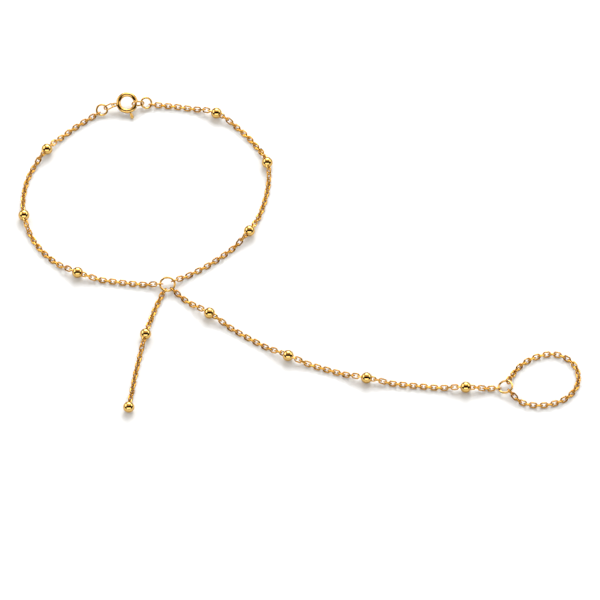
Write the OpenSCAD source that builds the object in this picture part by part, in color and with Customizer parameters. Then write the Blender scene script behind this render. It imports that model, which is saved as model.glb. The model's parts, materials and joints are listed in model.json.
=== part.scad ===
// Hand chain bracelet, lying on a flat surface: a wrist loop closed by a spring ring clasp,
// a short drop chain with an end bead, and a chain over the hand that ends in a finger loop.
// Millimetres. The surface is z = 0, +X runs from the wrist loop to the finger loop, and the
// origin is under the middle of the whole piece.

/* [Chain] */
// Diameter of the wire of a link
wire_d = 0.34; // [0.28:0.01:0.35]
// Outer width of a link
link_w = 1.4; // [1.36:0.02:1.5]
// Spacing of the links when the chain is pulled tight
link_pitch = 1.27; // [1.2:0.01:1.4]
// Turn of a link about the run of the chain, to each side in turn
link_roll = 45; // [40:1:50]
// Free space between two wires that hook into each other
play = 0.13; // [0.1:0.01:0.14]
// Length over which the chain comes down from a bead to the surface
settle_l = 3.2; // [2.6:0.1:4]

/* [End links] */
// Diameter of the wire of a link that hooks into a ring
end_wire_d = 0.34; // [0.28:0.01:0.35]
// Outer length of a link that hooks into a ring
end_l = 2.2; // [2.1:0.05:2.4]
// Outer width of a link that hooks into a ring
end_w = 1.7; // [1.6:0.02:1.74]
// Turn of a link that hooks into a ring, about the run of the chain
end_roll = 52; // [50:1:56]
// Free space between a ring's wire and the link in it
ring_play = 0.17; // [0.12:0.01:0.18]

/* [Beads] */
// Diameter of a bead
bead_d = 2.6; // [2.2:0.1:3]
// How far an ear stands out of its bead
ear_reach = 1.05; // [1:0.05:1.3]
// Outer width of an ear
ear_w = 1.3; // [1.25:0.05:1.4]

/* [Rings] */
// Diameter of the wire of all four rings
ring_wire_d = 0.48; // [0.4:0.02:0.52]
// Outer diameter of the centre ring
centre_ring_d = 3.9; // [3.5:0.1:4.2]
// Tilt of the centre ring
centre_tilt = 14; // [4:1:20]
// Outer diameter of the finger ring
finger_ring_d = 3.7; // [3.5:0.1:4.1]
// Tilt of the finger ring
finger_tilt = 14; // [4:1:24]
// Outer diameter of the jump rings beside the clasp
jump_d = 3; // [2.8:0.05:3.1]
// Tilt of the jump rings
jump_tilt = 30; // [24:1:34]

/* [Clasp] */
// Outer diameter of the spring ring
clasp_d = 5.2; // [5:0.1:5.4]
// Diameter of the tube that the spring ring is bent from
tube_d = 1.08; // [1:0.02:1.14]
// Diameter of the bolt inside the tube
bolt_d = 0.6; // [0.5:0.02:0.64]
// Free space around the bolt and its trigger
bolt_play = 0.04; // [0.03:0.01:0.05]
// Tilt of the spring ring, the far side up
clasp_tilt = 24; // [20:1:26]
// Angle at which the gap in the tube starts, counted from +X
gap_from = -26; // [-30:1:-22]
// Angle at which the gap in the tube ends
gap_to = 6; // [4:1:10]
// How far the bolt's tip sits in the tube beyond the gap, in degrees
tip_hold = 4; // [2:1:6]
// Angle of the closed trigger
trigger_at = -71; // [-74:1:-66]
// Diameter of the trigger's neck
neck_d = 0.46; // [0.4:0.02:0.5]
// Diameter of the trigger's round head
head_d = 0.84; // [0.7:0.02:0.9]
// Distance of the head's centre from the tube
head_reach = 1.15; // [1:0.05:1.3]
// Angle of the eyelet on the tube
eyelet_at = 190; // [184:1:194]
// Outer diameter of the eyelet
eyelet_d = 1.5; // [1.45:0.05:1.6]
// Diameter of the eyelet's wire
eyelet_wire_d = 0.33; // [0.3:0.01:0.36]
// Twist of the eyelet out of the square to the ring
eyelet_twist = 26; // [20:1:28]

/* [Clasp links] */
// Outer length of the oval link on the spring ring's tube
oval_l = 3.3; // [3.2:0.1:3.5]
// Outer length of the oval link in the eyelet
short_oval_l = 2.8; // [2.6:0.1:3]
// Outer width of the oval links
oval_w = 2.1; // [1.96:0.02:2.2]
// Diameter of the wire of the oval links
oval_wire_d = 0.36; // [0.32:0.01:0.38]

/* [Hidden] */
$fn = 48;
GOLD = "#e3b04b";
BRIGHT_GOLD = "#f0c469";

// How far a straight wire reaches into the bend it is welded to
weld = 0.02;
// Distances from bow to bow, between the centres of the wire
link_bow = link_pitch + wire_d + play;
end_bow = end_l - end_wire_d;
// How far the bows of two hooked wires lap over each other
link_lap = wire_d + play;
end_lap = (wire_d + end_wire_d) / 2 + play;
// Height of the chain's centre line where it lies on the surface
run_h = (link_w - wire_d) / 2 * sin(link_roll) + wire_d / 2;
// Height at which an end link holds the wire of a ring
end_h = (end_w - end_wire_d) / 2 * sin(end_roll) + end_wire_d / 2 + wire_d / 8;
// From the centre of a bead to the centre of its ear's bow
bead_reach = bead_d / 2 + ear_reach - wire_d / 2;
// Radius of the centre line of each ring's wire
centre_ring_r = (centre_ring_d - ring_wire_d) / 2;
finger_ring_r = (finger_ring_d - ring_wire_d) / 2;
jump_r = (jump_d - ring_wire_d) / 2;
tube_r = (clasp_d - tube_d) / 2;
eyelet_r = (eyelet_d - eyelet_wire_d) / 2;
head_r = clasp_d / 2 + head_reach;
// Centre of the spring ring, and how far its eyelet's centre is from there
clasp_h = head_r * sin(clasp_tilt) + head_d / 2;
clasp_c = [-40.4, 44.32, clasp_h];
eyelet_c_r = clasp_d / 2 + eyelet_r - eyelet_wire_d / 4;
// Where the closed bolt ends, with a short tail behind the trigger, and its turn from there to open
tip_at = gap_to + tip_hold;
tail_at = trigger_at - 20;
trigger_travel = tip_at - gap_from;
neck_turn = asin((neck_d / 2 + bolt_play) / tube_r);

// Directions of the high sides of the rings, seen from above
centre_high_at = 90;
finger_high_at = 20;
right_high_at = 120;
left_high_at = 90;
// Where each oval link sits on the spring ring, where it heads and its turn
right_hook_at = -4;
right_heading = 16;
right_roll = 101;
left_heading = 203;
left_roll = 20;
// Directions in which the two wrist chains leave their jump rings
right_leaves_at = -7;
left_leaves_at = 219;

// From the centre of a tilted ring to its wire in the direction a, seen from above
function rim(r, tilt, high_at, a) =
    let (f = atan2(sin(a - high_at) * cos(tilt), cos(a - high_at)))
    r * [cos(f) * cos(tilt) * cos(high_at) - sin(f) * sin(high_at),
        cos(f) * cos(tilt) * sin(high_at) + sin(f) * cos(high_at), cos(f) * sin(tilt)];
function jump_rim(high_at, a) = rim(jump_r, jump_tilt, high_at, a);
// A point in the plane of the spring ring
function in_clasp(r, a) =
    clasp_c + [r * cos(a), r * sin(a) * cos(clasp_tilt), r * sin(a) * sin(clasp_tilt)];
// An oval link holds a wire at p and the wire of a jump ring at the height h. It heads along a.
function held_wire(p, l, d, a, h) =
    let (
        hold = l - 2 * oval_wire_d - d / 2 - ring_wire_d / 2 - 2 * ring_play,
        run = sqrt(pow(hold, 2) - pow(h - p.z, 2))
    )
    [p.x + run * cos(a), p.y + run * sin(a), h];
// The same link's bow beyond the wire at q, which has the diameter d
function bow_beyond(p, q, d) = q + (q - p) / norm(q - p) * ((d + oval_wire_d) / 2 + ring_play);

centre_ring_h = end_h + centre_ring_r * sin(centre_tilt);
finger_ring_h = end_h + finger_ring_r * sin(finger_tilt);
right_jump_h = end_h - jump_rim(right_high_at, right_leaves_at).z;
left_jump_h = end_h - jump_rim(left_high_at, left_leaves_at).z;
right_rim = jump_rim(right_high_at, right_heading + 180);
left_rim = jump_rim(left_high_at, left_heading + 180);
tube_at = in_clasp(tube_r, right_hook_at);
eye_at = in_clasp(eyelet_c_r + eyelet_r, eyelet_at);
right_held = held_wire(tube_at, oval_l, tube_d, right_heading, right_jump_h + right_rim.z);
left_held = held_wire(eye_at, short_oval_l, eyelet_wire_d, left_heading, left_jump_h + left_rim.z);
right_jump_c = right_held - right_rim;
left_jump_c = left_held - left_rim;

// Routes of the chains, seen from above: chosen points [x, y, what is there]
VIA = 0;
BEAD = 1;
CENTRE_RING = 2;
FINGER_RING = 3;
RIGHT_JUMP = 4;
LEFT_JUMP = 5;
centre_c = [-30.15, -9.75, centre_ring_h];
finger_c = [47.97, -39.65, finger_ring_h];
WRIST_RIGHT = [
    [right_jump_c.x, right_jump_c.y, RIGHT_JUMP], [-27.4, 44.0, VIA], [-19.15, 41.68, BEAD],
    [-12.2, 35.55, VIA], [-7.05, 26.6, BEAD], [-7.35, 16.65, VIA], [-11.15, 6.0, BEAD],
    [-19.4, -2.7, VIA], [centre_c.x, centre_c.y, CENTRE_RING],
];
WRIST_LEFT = [
    [left_jump_c.x, left_jump_c.y, LEFT_JUMP], [-53.0, 37.45, VIA], [-59.15, 30.65, BEAD],
    [-63.6, 21.75, VIA], [-64.1, 10.7, BEAD], [-59.8, 0.7, VIA], [-51.15, -6.4, BEAD],
    [-39.8, -8.95, VIA], [centre_c.x, centre_c.y, CENTRE_RING],
];
DROP = [
    [centre_c.x, centre_c.y, CENTRE_RING], [-32.75, -16.0, VIA], [-35.05, -24.45, BEAD],
    [-37.05, -34.5, VIA], [-38.6, -45.6, BEAD],
];
HAND = [
    [centre_c.x, centre_c.y, CENTRE_RING], [-25.75, -14.2, VIA], [-20.3, -18.35, BEAD],
    [-11.65, -24.85, VIA], [-2.03, -30.75, BEAD], [6.8, -34.25, VIA], [16.02, -37.2, BEAD],
    [27.5, -39.0, VIA], [38.85, -39.9, BEAD], [finger_c.x, finger_c.y, FINGER_RING],
];
FINGER = [
    [finger_c.x, finger_c.y, FINGER_RING], [50.8, -34.05, VIA], [55.0, -30.7, VIA],
    [60.1, -29.85, VIA], [64.15, -33.1, VIA], [64.7, -38.35, VIA], [61.75, -42.7, VIA],
    [56.8, -44.55, VIA], [51.6, -43.75, VIA], [finger_c.x, finger_c.y, FINGER_RING],
];

// Smooth line through the points of a route, STEPS short chords from point to point
STEPS = 16;
function plan(p) = [p.x, p.y];
function between(a, b, c, d, t) =
    (2 * b + (c - a) * t + (2 * a - 5 * b + 4 * c - d) * t * t
    + (3 * b - a - 3 * c + d) * t * t * t) / 2;
function smooth_line(route) =
    let (
        n = len(route),
        p = concat([2 * plan(route[0]) - plan(route[1])], [for (r = route) plan(r)],
            [2 * plan(route[n - 1]) - plan(route[n - 2])])
    )
    concat(
        [for (i = [1:n - 1], k = [0:STEPS - 1]) between(p[i - 1], p[i], p[i + 1], p[i + 2], k / STEPS)],
        [p[n]]
    );
function distances(line) =
    let (last = len(line) - 1)
    [for (i = 0, s = 0; i <= last; s = s + norm(line[min(i + 1, last)] - line[i]), i = i + 1) s];

// A chain is worked out once: its line as two tables over the distance, and its stops.
// A stop is [distance, kind, side behind it, side before it]. A side is [hold, height]: how far
// from the stop's centre the chain is held, and how high.
XS = 0;
YS = 1;
STOPS = 2;
COUNTS = 3;
FIRST = 4;
AT = 0;
KIND = 1;
BEHIND = 2;
BEFORE = 3;
HOLD = 0;
HEIGHT = 1;
function ring_side(h, r) = [norm([r.x, r.y]), h + r.z];
function side_of(kind, a) =
    kind == BEAD ? [bead_reach, bead_d / 2]
    : kind == CENTRE_RING ? ring_side(centre_ring_h, rim(centre_ring_r, centre_tilt, centre_high_at, a))
    : kind == FINGER_RING ? ring_side(finger_ring_h, rim(finger_ring_r, finger_tilt, finger_high_at, a))
    : kind == RIGHT_JUMP ? ring_side(right_jump_h, jump_rim(right_high_at, a))
    : ring_side(left_jump_h, jump_rim(left_high_at, a));
function point_at(chain, s) = [lookup(s, chain[XS]), lookup(s, chain[YS])];
function heading(a, b) = atan2(b.y - a.y, b.x - a.x);
function stops_of(route, line, s) =
    [for (i = [0:len(route) - 1])
        if (route[i].z != VIA)
            let (k = i * STEPS, ahead = min(k + STEPS / 4, len(line) - 1), behind = max(k - STEPS / 4, 0))
            [s[k], route[i].z,
                side_of(route[i].z, heading(line[k], line[behind])),
                side_of(route[i].z, heading(line[k], line[ahead]))]];
// From a stop's centre to the inner bow of its end link
function hook_start(side) = side[HOLD] - (ring_wire_d + end_wire_d) / 2 - ring_play;
// From a stop's centre to the first bow of the loose links
function first_bow(kind, side) =
    kind == BEAD ? side[HOLD] - link_lap : hook_start(side) + end_bow - end_lap;
function stretch_from(stop) = stop[AT] + first_bow(stop[KIND], stop[BEFORE]);
function stretch_to(stop) = stop[AT] - first_bow(stop[KIND], stop[BEHIND]);
function link_count(a, b) = 1 + ceil((stretch_to(b) - stretch_from(a) - link_bow) / link_pitch);
function sum_to(list, n) = n == 0 ? 0 : list[n - 1] + sum_to(list, n - 1);
// Counts with one more link in the longest stretch where the last link would turn the wrong way
function evened(counts, first, last) =
    let (
        longest = search(max(counts), counts)[0],
        more = (first + 1 + sum_to(counts, len(counts)) + last) % 2
    )
    [for (j = [0:len(counts) - 1]) counts[j] + (j == longest ? more : 0)];
// The turns of the first and the last link, 0 or 1, are chosen for the rings that they hang in
function chain_of(route, first, last) =
    let (
        line = smooth_line(route),
        s = distances(line),
        stops = stops_of(route, line, s),
        counts = [for (j = [1:len(stops) - 1]) link_count(stops[j - 1], stops[j])]
    )
    [
        [for (i = [0:len(s) - 1]) [s[i], line[i].x]],
        [for (i = [0:len(s) - 1]) [s[i], line[i].y]],
        stops,
        evened(counts, first, last),
        first
    ];

// Share of a stop's height that is left at the distance t settling lengths from it
function fade(t) = t <= 0 ? 1 : t >= 1 ? 0 : 1 - t * t * (3 - 2 * t);
function line_h(a, b, s) =
    run_h
    + (a[BEFORE][HEIGHT] - run_h) * fade((s - a[AT] - a[BEFORE][HOLD]) / settle_l)
    + (b[BEHIND][HEIGHT] - run_h) * fade((b[AT] - b[BEHIND][HOLD] - s) / settle_l);
function bow_at(chain, j, s) =
    let (p = point_at(chain, s))
    [p.x, p.y, line_h(chain[STOPS][j], chain[STOPS][j + 1], s)];
// Links turn left and right in turn, ears and end links counted in
function turn_of(i) = i % 2 == 0 ? 1 : -1;
function first_turn(chain, j) = chain[FIRST] + 1 + 2 * j + sum_to(chain[COUNTS], j);

// The loose links of stretch j, each as [near bow, far bow, turn]
function loose_links(chain, j) =
    let (
        n = chain[COUNTS][j],
        from = stretch_from(chain[STOPS][j]),
        spacing = (stretch_to(chain[STOPS][j + 1]) - from - link_bow) / (n - 1)
    )
    [for (k = [0:n - 1])
        [bow_at(chain, j, from + k * spacing), bow_at(chain, j, from + k * spacing + link_bow),
            turn_of(first_turn(chain, j) + k)]];

RIGHT_HALF = chain_of(WRIST_RIGHT, 1, 0);
LEFT_HALF = chain_of(WRIST_LEFT, 0, 1);
DROP_RUN = chain_of(DROP, 0, 0);
HAND_RUN = chain_of(HAND, 1, 1);
FINGER_RUN = chain_of(FINGER, 0, 0);

// A piece that lies along +X, moved so that it runs from p to q
module along(p, q, roll) {
    d = q - p;
    translate((p + q) / 2)
        rotate([roll, -atan2(d.z, norm([d.x, d.y])), atan2(d.y, d.x)])
            children();
}

// Half of a wire ring, open towards -X, its centre at the origin
module half_ring(r, d) {
    rotate_extrude(angle = 180, start = -90)
        translate([r, 0])
            circle(d = d);
}

module wire_ring(r, d) {
    rotate_extrude()
        translate([r, 0])
            circle(d = d);
}

// Straight wire along X that reaches into the bends at its ends and is a hair thicker than they are
module straight_wire(l, d) {
    translate([-l / 2 - weld, 0, 0])
        rotate([0, 90, 0])
            cylinder(h = l + 2 * weld, d = d + weld / 2);
}

// A link with straight sides and round ends, from p to q between the centres of its bows
module oval_link(p, q, w, d, roll) {
    bow = norm(q - p);
    r = (w - d) / 2;
    side = bow - 2 * r;
    along(p, q, roll) {
        for (end = [0, 180])
            rotate([0, 0, end])
                translate([side / 2, 0, 0])
                    half_ring(r, d);
        for (y = [-r, r])
            translate([0, y, 0])
                straight_wire(side, d);
    }
}

// One end of the stretch j, at its first or its last stop: its stop, its way along the chain,
// its side of the stop and the turn of the link or ear there
function end_stop(chain, j, leaving) = chain[STOPS][leaving ? j : j + 1];
function end_way(leaving) = leaving ? 1 : -1;
function end_side(chain, j, leaving) = end_stop(chain, j, leaving)[leaving ? BEFORE : BEHIND];
function end_turn(chain, j, leaving) =
    end_way(leaving) * turn_of(first_turn(chain, j) + (leaving ? -1 : chain[COUNTS][j]));
function end_point(chain, j, leaving, reach) =
    bow_at(chain, j, end_stop(chain, j, leaving)[AT] + end_way(leaving) * reach);

// The link that hooks a chain into the ring at the end of the stretch j
module end_link(chain, j, leaving) {
    near = hook_start(end_side(chain, j, leaving));
    oval_link(end_point(chain, j, leaving, near), end_point(chain, j, leaving, near + end_bow),
        end_w, end_wire_d, end_turn(chain, j, leaving) * end_roll);
}

// All loose links of a chain, with the end links at its rings
module chain_links(chain) {
    last = len(chain[STOPS]) - 1;
    for (j = [0:last - 1], k = loose_links(chain, j))
        oval_link(k[0], k[1], link_w, wire_d, k[2] * link_roll);
    end_link(chain, 0, true);
    if (chain[STOPS][last][KIND] != BEAD)
        end_link(chain, last - 1, false);
}

// The ear that the stretch j of a chain hooks into, at its first or its last stop
module ear(chain, j, leaving) {
    c = end_point(chain, j, leaving, 0);
    tip = end_point(chain, j, leaving, bead_reach);
    r = (ear_w - wire_d) / 2;
    leg = norm(tip - c) - r - bead_d / 4;
    along(c, tip, end_turn(chain, j, leaving) * link_roll)
        translate([norm(tip - c) / 2 - r, 0, 0]) {
            half_ring(r, wire_d);
            for (y = [-r, r])
                translate([-leg / 2, y, 0])
                    straight_wire(leg, wire_d);
        }
}

// A bead with the ears of the stretches that end and start at its stop
module bead(chain, j) {
    last = len(chain[STOPS]) - 1;
    p = point_at(chain, chain[STOPS][j][AT]);
    color(BRIGHT_GOLD) {
        translate([p.x, p.y, bead_d / 2])
            rotate([0, 90, heading(point_at(chain, chain[STOPS][j][AT] - bead_d), p)])
                sphere(d = bead_d);
        ear(chain, j - 1, false);
        if (j < last)
            ear(chain, j, true);
    }
}

module tilted_ring(c, r, tilt, high_at) {
    color(BRIGHT_GOLD)
        translate(c)
            rotate([0, -tilt, high_at])
                wire_ring(r, ring_wire_d);
}

// Everything inside is drawn in the spring ring's own plane
module in_clasp_plane() {
    translate(clasp_c)
        rotate([clasp_tilt, 0, 0])
            children();
}

module clasp_ring() {
    slot_w = neck_d + 2 * bolt_play;
    slot_turn = trigger_travel + 2 * neck_turn;
    color(BRIGHT_GOLD)
        in_clasp_plane() {
            difference() {
                rotate_extrude(angle = 360 - gap_to + gap_from, start = gap_to)
                    translate([tube_r, 0])
                        difference() {
                            circle(d = tube_d);
                            circle(d = bolt_d + 2 * bolt_play);
                        }
                rotate_extrude(angle = slot_turn, start = trigger_at + neck_turn - slot_turn)
                    translate([tube_r, -slot_w / 2])
                        square([tube_d, slot_w]);
            }
            difference() {
                rotate([0, 0, eyelet_at])
                    translate([eyelet_c_r, 0, 0])
                        rotate([90 + eyelet_twist, 0, 0])
                            wire_ring(eyelet_r, eyelet_wire_d);
                wire_ring(tube_r, (tube_d + bolt_d) / 2 + bolt_play);
            }
        }
}

module clasp_bolt() {
    color(BRIGHT_GOLD)
        in_clasp_plane() {
            rotate_extrude(angle = tip_at - tail_at, start = tail_at)
                translate([tube_r, 0])
                    circle(d = bolt_d);
            rotate([0, 0, trigger_at])
                translate([tube_r, 0, 0])
                    rotate([0, 90, 0]) {
                        cylinder(h = head_r - tube_r, d = neck_d);
                        translate([0, 0, (tube_d + head_d) / 2 - head_d / 4])
                            cylinder(h = head_r - tube_r - (tube_d + head_d) / 2 + head_d / 4,
                                d1 = neck_d + bolt_d / 4, d2 = head_d);
                        translate([0, 0, head_r - tube_r])
                            sphere(d = head_d);
                    }
        }
}

module clasp_link_right() {
    color(BRIGHT_GOLD)
        oval_link(bow_beyond(right_held, tube_at, tube_d), bow_beyond(tube_at, right_held, ring_wire_d),
            oval_w, oval_wire_d, right_roll);
}

module clasp_link_left() {
    color(BRIGHT_GOLD)
        oval_link(bow_beyond(left_held, eye_at, eyelet_wire_d), bow_beyond(eye_at, left_held, ring_wire_d),
            oval_w, oval_wire_d, left_roll);
}

module jump_ring_right() tilted_ring(right_jump_c, jump_r, jump_tilt, right_high_at);
module jump_ring_left() tilted_ring(left_jump_c, jump_r, jump_tilt, left_high_at);
module centre_ring() tilted_ring(centre_c, centre_ring_r, centre_tilt, centre_high_at);
module finger_ring() tilted_ring(finger_c, finger_ring_r, finger_tilt, finger_high_at);

module wrist_chain_right() color(GOLD) chain_links(RIGHT_HALF);
module wrist_chain_left() color(GOLD) chain_links(LEFT_HALF);
module drop_chain() color(GOLD) chain_links(DROP_RUN);
module hand_chain() color(GOLD) chain_links(HAND_RUN);
module finger_chain() color(GOLD) chain_links(FINGER_RUN);

module wrist_bead_1() bead(RIGHT_HALF, 1);
module wrist_bead_2() bead(RIGHT_HALF, 2);
module wrist_bead_3() bead(RIGHT_HALF, 3);
module wrist_bead_4() bead(LEFT_HALF, 1);
module wrist_bead_5() bead(LEFT_HALF, 2);
module wrist_bead_6() bead(LEFT_HALF, 3);
module drop_bead() bead(DROP_RUN, 1);
module drop_end_bead() bead(DROP_RUN, 2);
module hand_bead_1() bead(HAND_RUN, 1);
module hand_bead_2() bead(HAND_RUN, 2);
module hand_bead_3() bead(HAND_RUN, 3);
module hand_bead_4() bead(HAND_RUN, 4);

clasp_ring();
clasp_bolt();
clasp_link_right();
clasp_link_left();
jump_ring_right();
jump_ring_left();
wrist_chain_right();
wrist_chain_left();
wrist_bead_1();
wrist_bead_2();
wrist_bead_3();
wrist_bead_4();
wrist_bead_5();
wrist_bead_6();
centre_ring();
drop_chain();
drop_bead();
drop_end_bead();
hand_chain();
hand_bead_1();
hand_bead_2();
hand_bead_3();
hand_bead_4();
finger_ring();
finger_chain();
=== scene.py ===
# A gold-tone hand chain on a white surface, lit from above and behind as in a light tent.
# Metres. The surface is z = 0, +X to the right of the picture, +Y away from the camera.
import json
import math

import bpy
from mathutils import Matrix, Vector

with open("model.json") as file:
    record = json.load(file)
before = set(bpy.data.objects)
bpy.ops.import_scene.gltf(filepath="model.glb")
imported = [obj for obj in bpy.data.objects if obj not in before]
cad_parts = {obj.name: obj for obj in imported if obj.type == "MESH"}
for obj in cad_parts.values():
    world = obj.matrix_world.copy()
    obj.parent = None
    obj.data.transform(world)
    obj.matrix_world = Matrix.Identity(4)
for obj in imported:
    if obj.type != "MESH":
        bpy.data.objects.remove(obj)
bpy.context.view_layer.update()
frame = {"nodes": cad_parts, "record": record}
scene = bpy.context.scene

# Camera: 52.2 degrees above the surface, looking along +Y from far away
CAMERA_ELEVATION = math.radians(52.2)
CAMERA_DISTANCE = 1.5507
CAMERA_TARGET = Vector((0.0007, -0.0135, 0))
CAMERA_LENS_MM, CAMERA_SENSOR_MM = 400, 36
CAMERA_NEAR, CAMERA_FAR = 0.05, 20

# Lights: name, elevation, azimuth, half the width and height in degrees, radiance
LIGHT_DISTANCE = 1.6
SOFTBOXES = [
    ("key_light", 38, 6, 10, 7, 11),
    ("back_softbox", 43, 5, 26, 21, 3.6),
    ("left_softbox", 29, -72, 24, 14, 2.9),
    ("right_softbox", 30, 66, 21, 13, 2.9),
    ("front_card", 24, 180, 40, 16, 2.2),
]
# The room's tone by the sine of the elevation, and in front, on the camera's side
ROOM_TONES = [
    (0.0, (0.05, 0.035, 0.02)),
    (0.35, (0.08, 0.06, 0.045)),
    (0.8, (0.25, 0.19, 0.13)),
    (0.93, (0.72, 0.56, 0.36)),
]
FRONT_TONE = (0.006, 0.005, 0.004)
# Where the front's dark starts and is full, as the distance along -Y on a unit sphere
FRONT_STARTS, FRONT_FULL = 0.1, 0.2


def add_camera():
    back = Vector((0, -math.cos(CAMERA_ELEVATION), math.sin(CAMERA_ELEVATION)))
    data = bpy.data.cameras.new("camera")
    data.lens = CAMERA_LENS_MM
    data.sensor_width = CAMERA_SENSOR_MM
    data.clip_start, data.clip_end = CAMERA_NEAR, CAMERA_FAR
    camera = bpy.data.objects.new("camera", data)
    camera.location = CAMERA_TARGET + CAMERA_DISTANCE * back
    camera.rotation_euler = (math.pi / 2 - CAMERA_ELEVATION, 0, 0)
    scene.collection.objects.link(camera)
    scene.camera = camera


# Node helpers
def new_material(name):
    material = bpy.data.materials.new(name)
    material.use_nodes = True
    return material, material.node_tree, material.node_tree.nodes["Principled BSDF"]


def add_noise(tree, coordinates, per_metre, detail=3.0, distortion=0.0):
    noise = tree.nodes.new("ShaderNodeTexNoise")
    noise.inputs["Scale"].default_value = per_metre
    noise.inputs["Detail"].default_value = detail
    noise.inputs["Distortion"].default_value = distortion
    tree.links.new(coordinates, noise.inputs["Vector"])
    return noise.outputs["Fac"]


def add_range(tree, value, low, high, to_low, to_high):
    ranged = tree.nodes.new("ShaderNodeMapRange")
    ranged.inputs["From Min"].default_value = low
    ranged.inputs["From Max"].default_value = high
    ranged.inputs["To Min"].default_value = to_low
    ranged.inputs["To Max"].default_value = to_high
    tree.links.new(value, ranged.inputs["Value"])
    return ranged.outputs["Result"]


def add_ramp(tree, value, stops):
    ramp = tree.nodes.new("ShaderNodeValToRGB")
    points = ramp.color_ramp.elements
    while len(points) < len(stops):
        points.new(1)
    for point, (position, colour) in zip(points, stops):
        point.position = position
        point.color = (*colour, 1)
    tree.links.new(value, ramp.inputs["Fac"])
    return ramp.outputs["Color"]


# Gold: two tones, least and most roughness, and the strength of its marks. The first is the plating
# darkened with painted shade for the links, standing in for the shade among the packed links; the
# bright gold is the plating's own tone
LINK_GOLD_PAINTED_SHADE = ((0.49, 0.235, 0.02), (0.66, 0.37, 0.06), (0.04, 0.1), 0.12)
BRIGHT_GOLD = ((0.67, 0.41, 0.105), (0.73, 0.46, 0.13), (0.025, 0.07), 0.06)
# It darkens where it is seen edge on, and a clear lacquer over it whitens its highlights
EDGE_TINT = (0.62, 0.4, 0.16)
LACQUER, LACQUER_ROUGHNESS = 0.5, 0.05
# Noise scales, for each metre: slow drift of tone, dull patches, and marks drawn out along x
TONE_SCALE, HAZE_SCALE, MARK_SCALE = 420, 1300, 2600
MARK_STRETCH = (1, 7, 2.5)
# The parts of the noise over which the tone and the roughness change
TONE_SPAN, HAZE_SPAN = (0.3, 0.7), (0.35, 0.7)
MARK_DEPTH = 0.00001


def gold_material(name, deep, light, roughness, mark_strength):
    """Polished plating: its tone drifts slowly, and fine handling marks dull it in patches."""
    material, tree, shader = new_material(name)
    coordinates = tree.nodes.new("ShaderNodeTexCoord").outputs["Object"]
    tone = add_noise(tree, coordinates, TONE_SCALE, detail=2)
    colour = add_ramp(tree, tone, list(zip(TONE_SPAN, (deep, light))))
    tree.links.new(colour, shader.inputs["Base Color"])
    haze = add_noise(tree, coordinates, HAZE_SCALE, detail=4, distortion=0.4)
    dulled = add_range(tree, haze, *HAZE_SPAN, *roughness)
    tree.links.new(dulled, shader.inputs["Roughness"])
    marks = tree.nodes.new("ShaderNodeMapping")
    marks.inputs["Scale"].default_value = MARK_STRETCH
    tree.links.new(coordinates, marks.inputs["Vector"])
    bump = tree.nodes.new("ShaderNodeBump")
    bump.inputs["Strength"].default_value = mark_strength
    bump.inputs["Distance"].default_value = MARK_DEPTH
    mark_noise = add_noise(tree, marks.outputs["Vector"], MARK_SCALE, detail=5)
    tree.links.new(mark_noise, bump.inputs["Height"])
    tree.links.new(bump.outputs["Normal"], shader.inputs["Normal"])
    shader.inputs["Metallic"].default_value = 1
    shader.inputs["Specular Tint"].default_value = (*EDGE_TINT, 1)
    shader.inputs["Coat Weight"].default_value = LACQUER
    shader.inputs["Coat Roughness"].default_value = LACQUER_ROUGHNESS
    return material


# White surface
FLOOR_SIZE = 8
FLOOR_TONES = [(0.2, (0.875, 0.91, 0.945)), (0.8, (0.89, 0.925, 0.96))]
FLOOR_TONE_SCALE = 30
FLOOR_ROUGHNESS, FLOOR_SPECULAR = 0.75, 0.2


def add_floor():
    material, tree, shader = new_material("white_surface")
    coordinates = tree.nodes.new("ShaderNodeTexCoord").outputs["Object"]
    tone = add_noise(tree, coordinates, FLOOR_TONE_SCALE, detail=2)
    tree.links.new(add_ramp(tree, tone, FLOOR_TONES), shader.inputs["Base Color"])
    shader.inputs["Roughness"].default_value = FLOOR_ROUGHNESS
    shader.inputs["Specular IOR Level"].default_value = FLOOR_SPECULAR
    bpy.ops.mesh.primitive_plane_add(size=FLOOR_SIZE, location=(0, 0, 0))
    floor = bpy.context.object
    floor.name = "floor"
    floor.data.materials.append(material)


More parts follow.
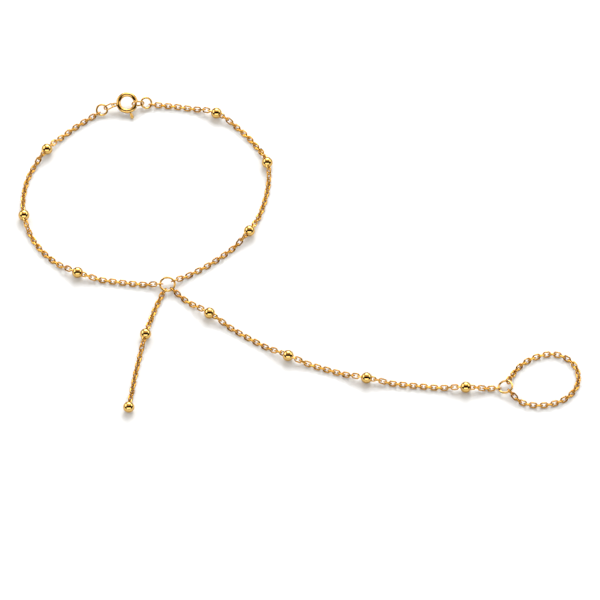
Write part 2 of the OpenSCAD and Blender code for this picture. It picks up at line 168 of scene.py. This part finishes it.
def towards(elevation, azimuth):
    """The direction at these angles, in degrees. Azimuth 0 is behind the piece, 90 at its right."""
    e, a = math.radians(elevation), math.radians(azimuth)
    return Vector((math.cos(e) * math.sin(a), math.cos(e) * math.cos(a), math.sin(e)))


def add_softbox(name, elevation, azimuth, half_width, half_height, radiance):
    """A rectangular light that faces the piece and spans these angles each way from its middle."""
    width = 2 * LIGHT_DISTANCE * math.tan(math.radians(half_width))
    height = 2 * LIGHT_DISTANCE * math.tan(math.radians(half_height))
    data = bpy.data.lights.new(name, "AREA")
    data.shape = "RECTANGLE"
    data.size, data.size_y = width, height
    data.energy = radiance * math.pi * width * height
    light = bpy.data.objects.new(name, data)
    light.location = LIGHT_DISTANCE * towards(elevation, azimuth)
    light.rotation_euler = (-light.location).to_track_quat("-Z", "Y").to_euler()
    scene.collection.objects.link(light)


def add_room():
    """Dim walls and a paler ceiling. The side that the camera looks from is dark."""
    world = bpy.data.worlds.new("room")
    scene.world = world
    world.use_nodes = True
    tree = world.node_tree
    split = tree.nodes.new("ShaderNodeSeparateXYZ")
    direction = tree.nodes.new("ShaderNodeTexCoord").outputs["Generated"]
    tree.links.new(direction, split.inputs["Vector"])
    walls = add_ramp(tree, split.outputs["Z"], ROOM_TONES)
    front = add_range(tree, split.outputs["Y"], -FRONT_STARTS, -FRONT_FULL, 0, 1)
    tone = tree.nodes.new("ShaderNodeMix")
    tone.data_type = "RGBA"
    tree.links.new(front, tone.inputs["Factor"])
    tree.links.new(walls, tone.inputs["A"])
    tone.inputs["B"].default_value = (*FRONT_TONE, 1)
    tree.links.new(tone.outputs["Result"], tree.nodes["Background"].inputs["Color"])


def dress():
    looks = {
        # The links' gold is a darker copy of the plating: painted shade
        "gold": gold_material("gold", *LINK_GOLD_PAINTED_SHADE),
        "bright_gold": gold_material("bright_gold", *BRIGHT_GOLD),
    }
    for part in frame["record"]["subparts"]:
        node = frame["nodes"][part["node"]]
        node.data.materials.clear()
        node.data.materials.append(looks[part["material_slot"]])


add_camera()
add_floor()
dress()
add_room()
for softbox in SOFTBOXES:
    add_softbox(*softbox)
scene.view_settings.view_transform = "Standard"
